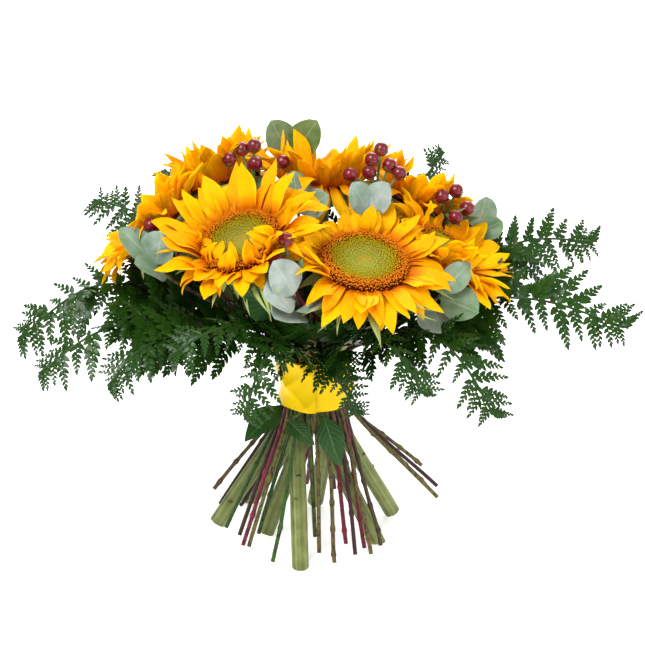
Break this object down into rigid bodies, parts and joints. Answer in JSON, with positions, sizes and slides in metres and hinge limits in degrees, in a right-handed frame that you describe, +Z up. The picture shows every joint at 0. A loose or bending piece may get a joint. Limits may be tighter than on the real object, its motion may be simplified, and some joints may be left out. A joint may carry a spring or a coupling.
{
  "type": "bunch of sunflowers",
  "caption": "Hand-tied bunch of sunflowers with fern, berries and eucalyptus, held by a satin ribbon, standing on its cut stems.",
  "frame": {"origin": "middle of the bunch's bounding box, on the table that the cut stems stand on", "axes": "+Z up along the tied stems, +X to the right and +Y to the back as seen from the front"},
  "size_m": [0.4516, 0.2936, 0.3122],
  "materials": {
    "sunflower_stem": "soft hairy green stem",
    "florets": "matt, of many small florets",
    "petals": "satin, thin and ribbed",
    "fern": "glossy, leathery",
    "hypericum": "glossy berries on a woody twig",
    "eucalyptus": "matt, with a pale bloom",
    "broad_leaf": "satin",
    "ribbon": "satin weave"
  },
  "bodies": {
    "root": {"sunflower_front_right_stem": "sunflower_stem", "sunflower_front_left_stem": "sunflower_stem", "sunflower_back_middle_stem": "sunflower_stem", "sunflower_back_right_stem": "sunflower_stem", "sunflower_low_right_stem": "sunflower_stem", "sunflower_far_left_stem": "sunflower_stem", "sunflower_back_left_stem": "sunflower_stem", "sunflower_front_right_disc": "florets", "sunflower_front_left_disc": "florets", "sunflower_back_middle_disc": "florets", "sunflower_back_right_disc": "florets", "sunflower_low_right_disc": "florets", "sunflower_far_left_disc": "florets", "sunflower_back_left_disc": "florets", "ribbon": "ribbon", "fern_right_up": "fern", "fern_back_right": "fern", "fern_behind_right": "fern", "fern_behind_left": "fern", "fern_back_left": "fern", "fern_far_left": "fern", "fern_left_up": "fern", "fern_left": "fern", "fern_left_low": "fern", "fern_front_left": "fern", "fern_front_hanging": "fern", "fern_over_ribbon": "fern", "fern_front_right": "fern", "fern_right_low": "fern", "fern_right": "fern", "eucalyptus_right_back": "eucalyptus", "eucalyptus_top": "eucalyptus", "eucalyptus_centre": "eucalyptus", "eucalyptus_left_back": "eucalyptus", "eucalyptus_far_left": "eucalyptus", "eucalyptus_front": "eucalyptus", "eucalyptus_right": "eucalyptus", "eucalyptus_middle": "eucalyptus", "hypericum_middle": "hypericum", "hypericum_right": "hypericum", "hypericum_left": "hypericum", "hypericum_far_left": "hypericum", "hypericum_front": "hypericum", "broad_leaf_left": "broad_leaf", "broad_leaf_low": "broad_leaf", "broad_leaf_middle": "broad_leaf", "broad_leaf_right": "broad_leaf", "sunflower_front_right_petals": "petals", "sunflower_front_left_petals": "petals", "sunflower_back_middle_petals": "petals", "sunflower_back_right_petals": "petals", "sunflower_low_right_petals": "petals", "sunflower_far_left_petals": "petals", "sunflower_back_left_petals": "petals"}
  },
  "joints": []
}
